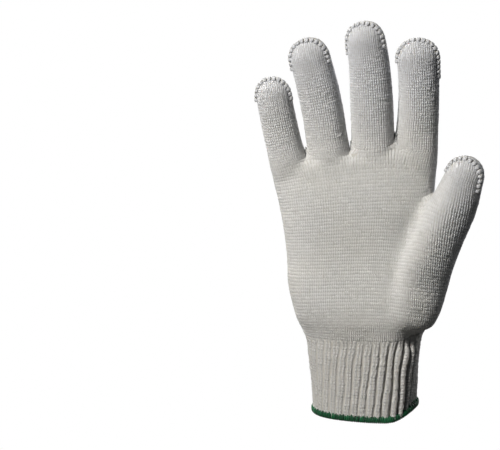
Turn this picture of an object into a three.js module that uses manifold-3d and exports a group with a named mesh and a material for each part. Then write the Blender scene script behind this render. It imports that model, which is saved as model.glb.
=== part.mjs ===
// A knitted cotton work glove for the right hand, in the round form that it has when worn.
// The palm faces -Y, the thumb points to +X and the fingers point up, +Z.
// The origin is the centre of the wrist opening, at the mean height of its edge at the two sides.
// Units are millimetres.
import * as THREE from 'three';
import { mergeVertices } from 'three/addons/utils/BufferGeometryUtils.js';
import Module from 'manifold-3d';

const wasm = await Module();
wasm.setup();

// Thickness of the cloth: plain knit on the hand, the thicker rib on the cuff.
const knitWall = 2.2;
const ribWall = 2.8;

// Clearance between two pieces that touch on the real glove.
const gap = 0.3;

// The cuff ends where the palm begins.
const wristHeight = 46;
// The ribs stand out most at the thumb side.
const ribCount = 38;
const ribDeep = 1.5;
const ribShallow = 0.5;

// The green edging is a rolled band under the cuff.
const hemHeight = 3.4;
const hemWidth = 4.4;
const hemSides = 44;
const hemCorners = 6;

// The overlock seam over each fingertip: a band that stands proud of the tip.
// Seen from above it is turned, so that its thumb side shows from the palm.
const seamHeight = 1.4;
const seamWidth = 2.4;
const seamTurn = -14;

// Faces round each tube, and steps in each rounded end.
const palmSides = 32;
const fingerSides = 18;
const innerCuffSides = 40;
const domeSteps = 4;

// How far a hollow runs past the end it opens at.
const overshoot = 1;

const colours = { cotton: 0xc9c6be, edging: 0x0e4f31 };

// Each table holds the sections of one tube, from its root up.
// x, y and z are the section's centre. width and depth are half of its outer size.
// turn is its angle about the tube's own axis, and tilt how far its thumb side is raised, in degrees.
const cuffRows = [
  { z: 0, x: 0.2, y: 0, width: 31.9, depth: 22.4, turn: -16, tilt: 0 },
  { z: 14, x: 0.3, y: 0, width: 32.6, depth: 22.2, turn: -14, tilt: 0 },
  { z: 32, x: -0.1, y: 0.3, width: 34.1, depth: 21.8, turn: -10, tilt: 0 },
  { z: 47, x: 0.1, y: 0.5, width: 36.6, depth: 21.2, turn: -6, tilt: 0 },
];

// Height of the cuff's edge round the wrist: it hangs lowest in front and rides up at the thumb side.
// around is the angle in degrees from the thumb side by way of the back of the hand.
const edgeRows = [
  { around: 0, height: 2.3 },
  { around: 20, height: 2.2 },
  { around: 60, height: 0.8 },
  { around: 100, height: 0 },
  { around: 150, height: -1.5 },
  { around: 180, height: -2.4 },
  { around: 230, height: -3.2 },
  { around: 300, height: -3.6 },
  { around: 322, height: -1.6 },
  { around: 343, height: 1.4 },
  { around: 360, height: 2.3 },
];

const lowestEdge = Math.min(...edgeRows.map((row) => row.height));

const palmRows = [
  { z: 45, x: 0.3, y: 0.6, width: 36.6, depth: 21.2, turn: -6, tilt: 0 },
  { z: 50, x: 0.6, y: 0.2, width: 39.1, depth: 21.6, turn: -5, tilt: 0 },
  { z: 56, x: 0, y: -0.6, width: 41.2, depth: 21.8, turn: -4, tilt: 1 },
  { z: 66, x: -1.4, y: -1.2, width: 42.5, depth: 21.2, turn: -3, tilt: 1 },
  { z: 80, x: -3.2, y: -1, width: 43.5, depth: 19.8, turn: -2, tilt: 2 },
  { z: 95, x: -3.6, y: -0.4, width: 43.5, depth: 18.4, turn: -1, tilt: 3 },
  { z: 116, x: -4.2, y: 0, width: 45.2, depth: 17.0, turn: 0, tilt: 4 },
  { z: 134, x: -5.0, y: 0.5, width: 47.6, depth: 15.2, turn: 0, tilt: 6 },
  { z: 148, x: -6.0, y: 1, width: 50.0, depth: 13.0, turn: 0, tilt: 7 },
];
const palmDome = 12;
const palmDomeNarrowing = 0.1;

const fingerTables = {
  little: {
    cut: 160,
    dome: 12.8,
    seamDrop: 3,
    rows: [
      { z: 138, x: -42.6, y: 1, width: 9.8, depth: 9.4 },
      { z: 150, x: -45.4, y: 1, width: 11.6, depth: 11.2 },
      { z: 161, x: -48.1, y: 0.5, width: 10.9, depth: 10.6 },
      { z: 175, x: -51.1, y: -1, width: 10.7, depth: 9.8 },
      { z: 183, x: -52.6, y: -2.5, width: 10.7, depth: 9.4 },
      { z: 191, x: -53.9, y: -4, width: 10.6, depth: 9.0 },
    ],
  },
  ring: {
    cut: 164.5,
    dome: 13.6,
    seamDrop: 2.5,
    rows: [
      { z: 138, x: -18.0, y: 1, width: 12.0, depth: 11.8 },
      { z: 152, x: -20.4, y: 1, width: 12.9, depth: 12.4 },
      { z: 167, x: -22.8, y: 0.5, width: 12.4, depth: 11.6 },
      { z: 182, x: -24.9, y: -1, width: 12.3, depth: 10.9 },
      { z: 198, x: -28.2, y: -3.5, width: 12.3, depth: 10.4 },
      { z: 213.6, x: -31.9, y: -6.5, width: 12.1, depth: 9.7 },
    ],
  },
  middle: {
    cut: 167,
    dome: 13.4,
    seamDrop: 4,
    rows: [
      { z: 138, x: 5.8, y: 1, width: 12.4, depth: 11.8 },
      { z: 155, x: 5.4, y: 1, width: 13.2, depth: 12.4 },
      { z: 170, x: 4.9, y: 0.5, width: 12.8, depth: 11.6 },
      { z: 184, x: 4.4, y: -1, width: 12.8, depth: 11.2 },
      { z: 200, x: 3.5, y: -3, width: 12.5, depth: 10.8 },
      { z: 215, x: 2.2, y: -5.5, width: 12.0, depth: 10.3 },
      { z: 223.2, x: 1.1, y: -7.5, width: 11.6, depth: 9.7 },
    ],
  },
  index: {
    cut: 167.5,
    dome: 13.2,
    seamDrop: 5,
    rows: [
      { z: 138, x: 29.6, y: 1, width: 11.8, depth: 10.6 },
      { z: 153, x: 30.8, y: 1, width: 12.8, depth: 12.2 },
      { z: 170, x: 31.4, y: 0.5, width: 12.4, depth: 11.4 },
      { z: 184, x: 32.1, y: -1, width: 12.0, depth: 11.0 },
      { z: 199, x: 32.2, y: -3, width: 11.9, depth: 10.6 },
      { z: 213, x: 31.5, y: -5.5, width: 12.6, depth: 9.9 },
    ],
  },
};

const thumbTable = {
  cut: 133,
  dome: 13,
  seamDrop: 2,
  rows: [
    { z: 51, x: 23.0, y: -4, width: 8.0, depth: 9.0 },
    { z: 56, x: 24.6, y: -6.5, width: 14.8, depth: 15.5 },
    { z: 66, x: 27.2, y: -8, width: 18.2, depth: 17.0 },
    { z: 80, x: 31.6, y: -8.5, width: 18.2, depth: 15.8 },
    { z: 97, x: 37.9, y: -11.5, width: 16.4, depth: 14.8 },
    { z: 113, x: 44.8, y: -14.5, width: 14.7, depth: 13.6 },
    { z: 129, x: 52.2, y: -17.5, width: 13.2, depth: 12.6 },
    { z: 144.8, x: 57.7, y: -20.5, width: 11.2, depth: 11.2 },
  ],
};

// Roundness of each kind of section: 2 is an ellipse, more is squarer.
const roundness = { cuff: 2.7, palm: 2.6, finger: 2.5, tip: 2.2 };

function interpolateRow(rows, z) {
  const last = rows.length - 1;
  let i = 0;
  while (i < last - 1 && rows[i + 1].z < z) i += 1;
  const low = rows[i];
  const high = rows[i + 1];
  const t = (z - low.z) / (high.z - low.z);
  const row = {};
  for (const key of Object.keys(low)) row[key] = THREE.MathUtils.lerp(low[key], high[key], t);
  return row;
}

// The table's rows between two heights, with a row made at each of the two.
function rowsBetween(rows, from, to) {
  const inside = rows.filter((row) => row.z > from + 0.5 && row.z < to - 0.5);
  return [interpolateRow(rows, from), ...inside, interpolateRow(rows, to)];
}

// A section carries its centre and the two directions that it is drawn in.
function makeSection(row, axis, inset, exponent) {
  const tilt = THREE.MathUtils.degToRad(row.tilt ?? 0);
  const level = new THREE.Vector3(Math.cos(tilt), 0, Math.sin(tilt));
  const across = level.clone().addScaledVector(axis, -level.dot(axis)).normalize();
  const through = new THREE.Vector3().crossVectors(axis, across).normalize();
  const turn = THREE.MathUtils.degToRad(row.turn ?? 0);
  across.applyAxisAngle(axis, turn);
  through.applyAxisAngle(axis, turn);
  return {
    centre: new THREE.Vector3(row.x, row.y, row.z),
    axis,
    across,
    through,
    width: row.width - inset,
    depth: row.depth - inset,
    exponent,
  };
}

// Sections square to the tube's axis, or level ones with their own tilt where upright is true.
function makeSections(rows, inset, exponent, upright) {
  return rows.map((row, i) => {
    const tilt = THREE.MathUtils.degToRad(row.tilt ?? 0);
    const axis = new THREE.Vector3(-Math.sin(tilt), 0, Math.cos(tilt));
    if (!upright) {
      const before = rows[Math.max(i - 1, 0)];
      const after = rows[Math.min(i + 1, rows.length - 1)];
      axis.set(after.x - before.x, after.y - before.y, after.z - before.z).normalize();
    }
    return makeSection(row, axis, inset, exponent);
  });
}

// Rounded end: the last section shrinks along its axis, a little squarer than a quarter circle.
// A narrowing under 1 keeps more of its width, as a web does.
function addDome(sections, length, narrowing = 1) {
  const last = sections[sections.length - 1];
  for (let step = 1; step <= domeSteps; step += 1) {
    const angle = (step / (domeSteps + 0.5)) * (Math.PI / 2);
    const rise = Math.sin(angle) ** (2 / roundness.tip);
    const shrink = Math.cos(angle) ** (2 / roundness.tip);
    sections.push({
      ...last,
      centre: last.centre.clone().addScaledVector(last.axis, length * rise),
      width: last.width * (1 - narrowing * (1 - shrink)),
      depth: last.depth * shrink,
    });
  }
}

function ovalPoint(section, angle, raise = 0) {
  const power = 2 / section.exponent;
  const cos = Math.cos(angle);
  const sin = Math.sin(angle);
  const u = Math.sign(cos) * Math.abs(cos) ** power * (section.width + raise);
  const v = Math.sign(sin) * Math.abs(sin) ** power * (section.depth + raise);
  return section.centre.clone().addScaledVector(section.across, u).addScaledVector(section.through, v);
}

// Angles that space points evenly round a section's edge.
function evenAngles(section, count) {
  const fine = count * 12;
  const lengths = [0];
  let previous = ovalPoint(section, 0);
  for (let i = 1; i <= fine; i += 1) {
    const point = ovalPoint(section, (i / fine) * 2 * Math.PI);
    lengths.push(lengths[i - 1] + point.distanceTo(previous));
    previous = point;
  }
  const angles = [];
  let j = 0;
  for (let i = 0; i < count; i += 1) {
    const target = (i / count) * lengths[fine];
    while (lengths[j + 1] < target) j += 1;
    const share = (target - lengths[j]) / (lengths[j + 1] - lengths[j]);
    angles.push(((j + share) / fine) * 2 * Math.PI);
  }
  return angles;
}

function plainRing(section, sides) {
  return evenAngles(section, sides).map((angle) => ovalPoint(section, angle));
}

// One closed skin through rings of equal point counts, with a flat fan at both ends.
function skinRings(rings) {
  const sides = rings[0].length;
  const positions = rings.flat().flatMap((point) => [point.x, point.y, point.z]);
  const indices = [];
  for (let r = 0; r < rings.length - 1; r += 1) {
    for (let i = 0; i < sides; i += 1) {
      const a = r * sides + i;
      const b = r * sides + ((i + 1) % sides);
      indices.push(a, b, b + sides, a, b + sides, a + sides);
    }
  }
  const addFan = (ring, start, flip) => {
    const middle = new THREE.Vector3();
    for (const point of ring) middle.add(point);
    middle.divideScalar(sides);
    const hub = positions.length / 3;
    positions.push(middle.x, middle.y, middle.z);
    for (let i = 0; i < sides; i += 1) {
      const a = start + i;
      const b = start + ((i + 1) % sides);
      if (flip) indices.push(hub, b, a);
      else indices.push(hub, a, b);
    }
  };
  addFan(rings[0], 0, true);
  addFan(rings[rings.length - 1], (rings.length - 1) * sides, false);
  const geometry = new THREE.BufferGeometry();
  geometry.setAttribute('position', new THREE.Float32BufferAttribute(positions, 3));
  geometry.setIndex(indices);
  return geometry;
}

function toSolid(geometry) {
  const merged = mergeVertices(geometry);
  return new wasm.Manifold(new wasm.Mesh({
    numProp: 3,
    vertProperties: merged.attributes.position.array,
    triVerts: new Uint32Array(merged.index.array),
  }));
}

function toGeometry(solid) {
  const mesh = solid.getMesh();
  const geometry = new THREE.BufferGeometry();
  geometry.setAttribute('position', new THREE.BufferAttribute(mesh.vertProperties, 3));
  geometry.setIndex(new THREE.BufferAttribute(mesh.triVerts, 1));
  return geometry;
}

// A tube's closed outer or inner form between two heights of its table.
function limbSolid(table, from, to, inset) {
  const sections = makeSections(rowsBetween(table.rows, from, to), inset, roundness.finger, false);
  const top = table.rows[table.rows.length - 1].z;
  if (to >= top) addDome(sections, table.dome - inset);
  return toSolid(skinRings(sections.map((section) => plainRing(section, fingerSides))));
}

function palmForm(from, inset) {
  const top = palmRows[palmRows.length - 1].z;
  const sections = makeSections(rowsBetween(palmRows, from, top), inset, roundness.palm, true);
  addDome(sections, palmDome - inset, palmDomeNarrowing);
  return toSolid(skinRings(sections.map((section) => plainRing(section, palmSides))));
}

const topOf = (table) => table.rows[table.rows.length - 1].z;
const rootOf = (table) => table.rows[0].z;

// The palm carries a short root of every finger and the whole base of the thumb.
function makePalm() {
  let outer = palmForm(wristHeight + gap, 0);
  let inner = palmForm(palmRows[0].z, knitWall);
  for (const table of [...Object.values(fingerTables), thumbTable]) {
    outer = outer.add(limbSolid(table, rootOf(table), table.cut - gap / 2, 0));
    inner = inner.add(limbSolid(table, rootOf(table) + knitWall, table.cut + overshoot, knitWall));
  }
  return toGeometry(outer.subtract(inner));
}

function makeFinger(table) {
  const outer = limbSolid(table, table.cut + gap / 2, topOf(table), 0);
  const inner = limbSolid(table, table.cut - overshoot, topOf(table), knitWall);
  return toGeometry(outer.subtract(inner));
}

// Height of the cuff's edge at an angle, read between the rows of its table.
function edgeHeight(angle) {
  const around = THREE.MathUtils.euclideanModulo(THREE.MathUtils.radToDeg(angle), 360);
  const next = edgeRows.findIndex((row) => row.around > around);
  const low = edgeRows[next - 1];
  const high = edgeRows[next];
  const t = (around - low.around) / (high.around - low.around);
  return THREE.MathUtils.lerp(low.height, high.height, t);
}

function ribDepth(angle) {
  const thumbSide = (0.5 + 0.5 * Math.cos(angle + 0.4)) ** 2;
  return THREE.MathUtils.lerp(ribShallow, ribDeep, thumbSide);
}

// A ring of ribs: two points on each crest and two in each valley.
// drop is how far the ring follows the height of the cuff's edge, from 0 to 1.
function ribRing(section, drop) {
  const angles = evenAngles(section, ribCount * 4);
  return angles.map((angle, i) => {
    const point = ovalPoint(section, angle, i % 4 < 2 ? 0 : -ribDepth(angle));
    point.z += drop * edgeHeight(angle);
    return point;
  });
}

function makeCuff() {
  const low = rowsBetween(cuffRows, hemHeight + gap, wristHeight);
  const outerSections = makeSections(low, 0, roundness.cuff, true);
  const lastRing = outerSections.length - 1;
  const outer = outerSections.map((section, i) => ribRing(section, i === 0 ? 1 : 1 - i / lastRing));
  const open = [
    { ...interpolateRow(cuffRows, 0), z: lowestEdge - overshoot },
    ...cuffRows.slice(1, -1),
    interpolateRow(cuffRows, wristHeight + overshoot),
  ];
  const innerSections = makeSections(open, ribWall, roundness.cuff, true);
  const inner = innerSections.map((section) => plainRing(section, innerCuffSides));
  return toGeometry(toSolid(skinRings(outer)).subtract(toSolid(skinRings(inner))));
}

// A closed band: one rounded outline carried all the way round the cuff's end.
function makeHem() {
  const row = interpolateRow(cuffRows, hemHeight / 2);
  const [section] = makeSections([row], hemWidth / 2 - ribShallow, roundness.cuff, true);
  const angles = evenAngles(section, hemSides);
  const positions = [];
  const indices = [];
  angles.forEach((angle) => {
    for (let corner = 0; corner < hemCorners; corner += 1) {
      const round = ((corner + 0.5) / hemCorners) * 2 * Math.PI;
      const point = ovalPoint(section, angle, (hemWidth / 2) * Math.cos(round));
      point.z += edgeHeight(angle) + (hemHeight / 2) * Math.sin(round);
      positions.push(point.x, point.y, point.z);
    }
  });
  for (let i = 0; i < hemSides; i += 1) {
    for (let corner = 0; corner < hemCorners; corner += 1) {
      const nextCorner = (corner + 1) % hemCorners;
      const a = i * hemCorners + corner;
      const b = i * hemCorners + nextCorner;
      const c = ((i + 1) % hemSides) * hemCorners + nextCorner;
      const d = ((i + 1) % hemSides) * hemCorners + corner;
      indices.push(a, d, c, a, c, b);
    }
  }
  const geometry = new THREE.BufferGeometry();
  geometry.setAttribute('position', new THREE.Float32BufferAttribute(positions, 3));
  geometry.setIndex(indices);
  return geometry;
}

// A slab through the fingertip cuts the seam's band out of a slightly larger tip.
function makeTipSeam(table) {
  const top = topOf(table);
  const from = top - table.seamDrop;
  const outer = limbSolid(table, from, top, -seamHeight);
  const inner = limbSolid(table, from - overshoot, top, -gap);
  const sections = makeSections(rowsBetween(table.rows, from, top), 0, roundness.finger, false);
  const tip = sections[sections.length - 1];
  const turn = THREE.MathUtils.degToRad(seamTurn);
  const slab = new THREE.BoxGeometry(4 * tip.width, seamWidth, 4 * table.dome + 4 * table.seamDrop);
  const basis = new THREE.Matrix4().makeBasis(
    tip.across.clone().applyAxisAngle(tip.axis, turn),
    tip.through.clone().applyAxisAngle(tip.axis, turn),
    tip.axis,
  );
  slab.applyMatrix4(basis.setPosition(tip.centre));
  slab.deleteAttribute('normal');
  slab.deleteAttribute('uv');
  return toGeometry(outer.subtract(inner).intersect(toSolid(slab)));
}

const cotton = new THREE.MeshStandardMaterial({ color: colours.cotton, roughness: 0.95, metalness: 0 });
const edging = new THREE.MeshStandardMaterial({ color: colours.edging, roughness: 0.9, metalness: 0 });

const group = new THREE.Group();

function addPiece(name, geometry, material) {
  geometry.computeVertexNormals();
  const mesh = new THREE.Mesh(geometry, material);
  mesh.name = name;
  group.add(mesh);
}

addPiece('palm', makePalm(), cotton);
for (const [name, table] of Object.entries(fingerTables)) {
  addPiece(`finger_${name}`, makeFinger(table), cotton);
  addPiece(`tip_seam_${name}`, makeTipSeam(table), cotton);
}
addPiece('thumb', makeFinger(thumbTable), cotton);
addPiece('tip_seam_thumb', makeTipSeam(thumbTable), cotton);
addPiece('ribbed_cuff', makeCuff(), cotton);
addPiece('hem_edging', makeHem(), edging);

export default group;
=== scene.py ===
import math
import bpy
import numpy as np
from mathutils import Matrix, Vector
from mathutils.bvhtree import BVHTree


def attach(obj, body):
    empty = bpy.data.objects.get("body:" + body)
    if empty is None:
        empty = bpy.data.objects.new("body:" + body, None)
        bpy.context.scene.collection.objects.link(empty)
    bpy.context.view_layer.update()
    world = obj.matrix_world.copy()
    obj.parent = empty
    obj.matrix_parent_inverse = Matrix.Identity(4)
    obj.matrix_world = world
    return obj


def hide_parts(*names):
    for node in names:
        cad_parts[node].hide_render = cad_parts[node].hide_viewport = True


# A cotton work glove for the right hand, knitted stitch by stitch round its worn form.
# Lengths in the tables are in millimetres, as they are measured on the glove.
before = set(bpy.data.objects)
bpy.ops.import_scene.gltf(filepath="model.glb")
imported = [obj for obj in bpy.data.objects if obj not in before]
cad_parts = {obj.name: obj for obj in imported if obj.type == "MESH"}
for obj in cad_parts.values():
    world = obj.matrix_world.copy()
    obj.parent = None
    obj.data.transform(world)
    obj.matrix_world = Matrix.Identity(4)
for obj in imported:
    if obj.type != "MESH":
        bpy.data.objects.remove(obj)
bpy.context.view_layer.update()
mm = 0.001
chance = np.random.default_rng(7)


# Sections of each tube, root first: height, centre, half width, half depth, turn and tilt in degrees.
rowNames = ("z", "x", "y", "width", "depth", "turn", "tilt")

palmShape = {
    "rows": [
        (32, 0.0, 0.6, 34.5, 21.6, -10, 0),
        (45, 0.3, 0.6, 36.6, 21.2, -6, 0),
        (50, 0.6, 0.2, 39.1, 21.6, -5, 0),
        (56, 0.0, -0.6, 41.2, 21.8, -4, 1),
        (66, -1.4, -1.2, 42.5, 21.2, -3, 1),
        (80, -3.2, -1.0, 43.5, 19.8, -2, 2),
        (95, -3.6, -0.4, 43.5, 18.4, -1, 3),
        (116, -4.2, 0.0, 45.2, 17.0, 0, 4),
        (134, -5.0, 0.5, 47.6, 15.2, 0, 6),
        (148, -6.0, 1.0, 50.0, 13.0, 0, 7),
    ],
    "dome": 12,
    "keepWidth": 0.9,     # the web between the fingers stays nearly as wide as the palm
    "squareness": 2.9,
    "upright": True,
}

fingerShapes = {
    "little": {
        "rows": [
            (138, -42.6, 1, 9.8, 9.4, 0), (150, -45.4, 1, 11.6, 11.2, 0),
            (161, -48.1, 0.5, 10.9, 10.6, 0), (175, -51.1, -1, 10.7, 9.8, 0),
            (183, -52.6, -2.5, 10.7, 9.4, 0), (191, -53.9, -4, 10.6, 9, 0),
        ],
        "dome": 12.8, "wales": 26, "web": 150.5,
        "seamDrops": (0.5, 2.5), "seamFronts": (1.4, 3.6),
    },
    "ring": {
        "rows": [
            (138, -18, 1, 12, 11.8, 0), (152, -20.4, 1, 12.9, 12.4, -3),
            (167, -22.8, 0.5, 12.4, 11.6, -6), (182, -24.9, -1, 12.3, 10.9, -6),
            (198, -28.2, -3.5, 12.3, 10.4, -4), (213.6, -31.9, -6.5, 12.1, 9.7, 0),
        ],
        "dome": 13.6, "wales": 28, "web": 154,
        "seamDrops": (3.5, 3.5), "seamFronts": (2.4, 6.0),
    },
    "middle": {
        "rows": [
            (138, 5.8, 1, 12.4, 11.8, 0), (155, 5.4, 1, 13.2, 12.4, 0),
            (170, 4.9, 0.5, 12.8, 11.6, 0), (184, 4.4, -1, 12.8, 11.2, 0),
            (200, 3.5, -3, 12.5, 10.8, 0), (215, 2.2, -5.5, 12, 10.3, 0),
            (223.2, 1.1, -7.5, 11.6, 9.7, 0),
        ],
        "dome": 13.4, "wales": 28, "web": 159,
        "seamDrops": (5.5, 3.0), "seamFronts": (0.6, 6.4),
    },
    "index": {
        "rows": [
            (138, 29.6, 1, 11.8, 10.6, 4), (153, 30.9, 1, 12.6, 12.2, 6),
            (170, 31.4, 0.5, 12.4, 11.4, 8), (184, 32.1, -1, 12, 11, 8),
            (199, 32.2, -3, 11.9, 10.6, 6), (213, 31.5, -5.5, 12.6, 9.9, 4),
        ],
        "dome": 13.2, "wales": 28, "web": 155.5,
        "seamDrops": (1.0, 11.0), "seamFronts": (1.0, 5.6),
    },
    "thumb": {
        "rows": [
            (51, 23, -4, 8, 9, 0), (56, 24.6, -6.5, 14.8, 15.5, 6),
            (66, 27.2, -8, 18.2, 17, 12), (80, 31.6, -8.5, 18.2, 15.8, 14),
            (97, 37.9, -11.5, 16.4, 14.8, 14), (113, 45.3, -14.5, 14.9, 13.6, 12),
            (129, 53, -17.5, 13.4, 12.6, 10), (144.8, 58.4, -20.5, 11.4, 11.2, 0),
        ],
        "dome": 13, "wales": 28, "web": 129,
        "seamDrops": (0.5, 4.0), "seamFronts": (0.0, 12.0),
    },
}
for shape in fingerShapes.values():
    shape.update(keepWidth=0.0, squareness=2.5, upright=False)
    shape["rows"] = [(*row, 0) for row in shape["rows"]]      # fingers have no tilt of their own


def rowAt(shape, z):
    rows = np.array(shape["rows"], float)
    slopes = np.gradient(rows, rows[:, 0], axis=0)
    low = int(np.clip(np.searchsorted(rows[:, 0], z) - 1, 0, len(rows) - 2))
    step = rows[low + 1, 0] - rows[low, 0]
    t = np.clip((z - rows[low, 0]) / step, 0, 1)
    leave = rows[low] * (2 * t**3 - 3 * t**2 + 1) + slopes[low] * step * (t**3 - 2 * t**2 + t)
    arrive = rows[low + 1] * (3 * t**2 - 2 * t**3) + slopes[low + 1] * step * (t**3 - t**2)
    return dict(zip(rowNames, leave + arrive))


def unit(vector):
    return vector / np.linalg.norm(vector)


def smoothShare(value):
    value = np.clip(value, 0, 1)
    return value * value * (3 - 2 * value)


def centreOf(row):
    return np.array([row["x"], row["y"], row["z"]])


# One section of a tube: its centre, its axis and the two directions that it is drawn in.
def sectionAt(shape, z):
    row = rowAt(shape, z)
    turn, tilt = math.radians(row["turn"]), math.radians(row["tilt"])
    if shape["upright"]:
        axis = np.array([-math.sin(tilt), 0, math.cos(tilt)])
    else:
        first, last = shape["rows"][0][0], shape["rows"][-1][0]
        ahead = rowAt(shape, min(z + 2, last))
        behind = rowAt(shape, max(z - 2, first))
        axis = unit(centreOf(ahead) - centreOf(behind))
    level = np.array([math.cos(tilt), 0, math.sin(tilt)])
    across = unit(level - axis * level.dot(axis))
    through = np.cross(axis, across)
    return {
        "centre": centreOf(row), "axis": axis,
        "across": across * math.cos(turn) + through * math.sin(turn),
        "through": through * math.cos(turn) - across * math.sin(turn),
        "width": row["width"], "depth": row["depth"], "squareness": shape["squareness"],
    }


def ovalShares(section, angles):
    power = 2 / section["squareness"]
    cosines, sines = np.cos(angles), np.sin(angles)
    return np.sign(cosines) * np.abs(cosines) ** power, np.sign(sines) * np.abs(sines) ** power


def ovalPoints(section, angles):
    u, v = ovalShares(section, angles)
    u = (u * section["width"])[:, None]
    v = (v * section["depth"])[:, None]
    return section["centre"] + u * section["across"] + v * section["through"]


# Angles that space points evenly round a section, from its little-finger side by way of the palm.
def evenAngles(section, count):
    fine = math.pi + np.linspace(0, 2 * math.pi, count * 12 + 1)
    strides = np.linalg.norm(np.diff(ovalPoints(section, fine), axis=0), axis=1)
    lengths = np.concatenate([[0], np.cumsum(strides)])
    return np.interp(np.linspace(0, lengths[-1], count, endpoint=False), lengths, fine)


def deselectAll():
    if bpy.context.object and bpy.context.object.mode != "OBJECT":
        bpy.ops.object.mode_set(mode="OBJECT")
    bpy.ops.object.select_all(action="DESELECT")


def makeActive(piece):
    deselectAll()
    piece.select_set(True)
    bpy.context.view_layer.objects.active = piece


# Joins the pieces into the first of them.
def joinPieces(pieces):
    deselectAll()
    for piece in pieces:
        piece.select_set(True)
    bpy.context.view_layer.objects.active = pieces[0]
    bpy.ops.object.join()
    return bpy.context.object


def editAll(piece):
    makeActive(piece)
    bpy.ops.object.mode_set(mode="EDIT")
    bpy.ops.mesh.select_all(action="SELECT")


def faceOutward(piece):
    editAll(piece)
    bpy.ops.mesh.normals_make_consistent(inside=False)
    bpy.ops.object.mode_set(mode="OBJECT")


# Points are in millimetres and the mesh in metres. Faces are rows of three or four point numbers.
def meshPiece(name, points, faces):
    faces = np.asarray(faces, np.int32)
    corners = faces.shape[1]
    mesh = bpy.data.meshes.new(name)
    mesh.vertices.add(len(points))
    mesh.vertices.foreach_set("co", (np.asarray(points) * mm).astype(np.float32).ravel())
    mesh.loops.add(faces.size)
    mesh.loops.foreach_set("vertex_index", faces.ravel())
    mesh.polygons.add(len(faces))
    mesh.polygons.foreach_set("loop_start", np.arange(0, faces.size, corners, dtype=np.int32))
    mesh.polygons.foreach_set("use_smooth", np.full(len(faces), True))
    mesh.update(calc_edges=True)
    mesh.validate()
    piece = bpy.data.objects.new(name, mesh)
    bpy.context.scene.collection.objects.link(piece)
    return piece


def ringFaces(rings, sides, closed=False):
    faces = []
    for r in range(rings if closed else rings - 1):
        for i in range(sides):
            a, b = r * sides + i, r * sides + (i + 1) % sides
            up = ((r + 1) % rings) * sides - r * sides
            faces.append((a, b, b + up, a + up))
    return faces


def applyModifier(piece, kind, **settings):
    makeActive(piece)
    modifier = piece.modifiers.new(kind.lower(), kind)
    for key, value in settings.items():
        setattr(modifier, key, value)
    bpy.ops.object.modifier_apply(modifier=modifier.name)


# The smooth outer form of the filled hand: every tube is lofted, then all are remeshed into one skin.
handForm = {
    "sides": 48, "step": 3.0, "domeSteps": 8, "domeSquareness": 2.2, "voxel": 1.0, "softening": 24,
    "fold": ((37, -12, 124), 12, 50),     # place, radius and smoothing rounds at the root of the thumb
    "dents": [           # place, radius and depth: the hollow of the palm, the folds of the worn cloth
        ((-6, -19, 92), 24, 1.4), ((-20, -17, 112), 20, 0.9), ((29, -14, 47), 9, 5.6),
        ((22, -18, 104), 9, 1.0), ((26, -16, 114), 8, 1.0), ((-30, -16, 52), 14, 1.2),
        ((36, -4, 47), 8, 1.6), ((33, 6, 50), 12, 1.0), ((0, 21, 110), 30, -1.2),
    ],
}


def loftTube(name, shape):
    low, top = shape["rows"][0][0], shape["rows"][-1][0]
    heights = np.linspace(low, top, max(3, int((top - low) / handForm["step"])))
    rings = []
    for z in heights:
        section = sectionAt(shape, z)
        rings.append(ovalPoints(section, evenAngles(section, handForm["sides"])))
    tip = sectionAt(shape, top)
    u, v = ovalShares(tip, evenAngles(tip, handForm["sides"]))
    power = 2 / handForm["domeSquareness"]
    for angle in np.linspace(0, math.pi / 2, handForm["domeSteps"] + 1)[1:]:
        shrink = max(math.cos(angle), 0.0) ** power + 0.01
        wide = shrink + shape["keepWidth"] * (1 - shrink)
        ring = tip["centre"] + tip["axis"] * shape["dome"] * math.sin(angle) ** power
        ring = ring + (u * tip["width"] * wide)[:, None] * tip["across"]
        rings.append(ring + (v * tip["depth"] * shrink)[:, None] * tip["through"])
    tube = meshPiece(name, np.concatenate(rings), ringFaces(len(rings), handForm["sides"]))
    makeActive(tube)
    bpy.ops.object.mode_set(mode="EDIT")
    bpy.ops.mesh.select_mode(type="EDGE")
    bpy.ops.mesh.select_all(action="DESELECT")
    bpy.ops.mesh.select_non_manifold()
    bpy.ops.mesh.edge_face_add()
    bpy.ops.mesh.select_non_manifold()
    bpy.ops.object.mode_set(mode="OBJECT")
    return tube


def soften(piece):
    applyModifier(piece, "REMESH", mode="VOXEL", voxel_size=handForm["voxel"] * mm, use_smooth_shade=True)
    applyModifier(piece, "SMOOTH", factor=0.5, iterations=handForm["softening"])


# The surface of one finger alone, because two fingers that nearly touch melt into one in the whole form.
def fingerSurface(name, shape):
    tube = loftTube(name + "Alone", shape)
    soften(tube)
    tree = BVHTree.FromObject(tube, bpy.context.evaluated_depsgraph_get())
    bpy.data.objects.remove(tube)
    return tree


# From 1 at the spot towards 0, with about a third left at the radius.
def nearnessTo(places, spot, radius):
    return np.exp(-((np.linalg.norm(places - np.array(spot), axis=1) / radius) ** 2))


def buildHandForm():
    tubes = [loftTube("palmTube", palmShape)]
    for name, shape in fingerShapes.items():
        tubes.append(loftTube(name + "Tube", shape))
    form = joinPieces(tubes)
    form.name = "handForm"
    soften(form)
    spot, radius, rounds = handForm["fold"]
    nearness = nearnessTo(np.array([v.co for v in form.data.vertices]) / mm, spot, radius)
    group = form.vertex_groups.new(name="thumbFold")
    for i in np.flatnonzero(nearness > 0.02):
        group.add([int(i)], float(nearness[i]), "REPLACE")
    applyModifier(form, "SMOOTH", factor=0.5, iterations=rounds, vertex_group="thumbFold")
    places = np.array([v.co for v in form.data.vertices]) / mm
    inward = -np.array([v.normal for v in form.data.vertices])
    for spot, radius, depth in handForm["dents"]:
        places += inward * (depth * nearnessTo(places, spot, radius))[:, None]
    form.data.vertices.foreach_set("co", (places * mm).ravel())
    form.data.update()
    return form


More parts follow.
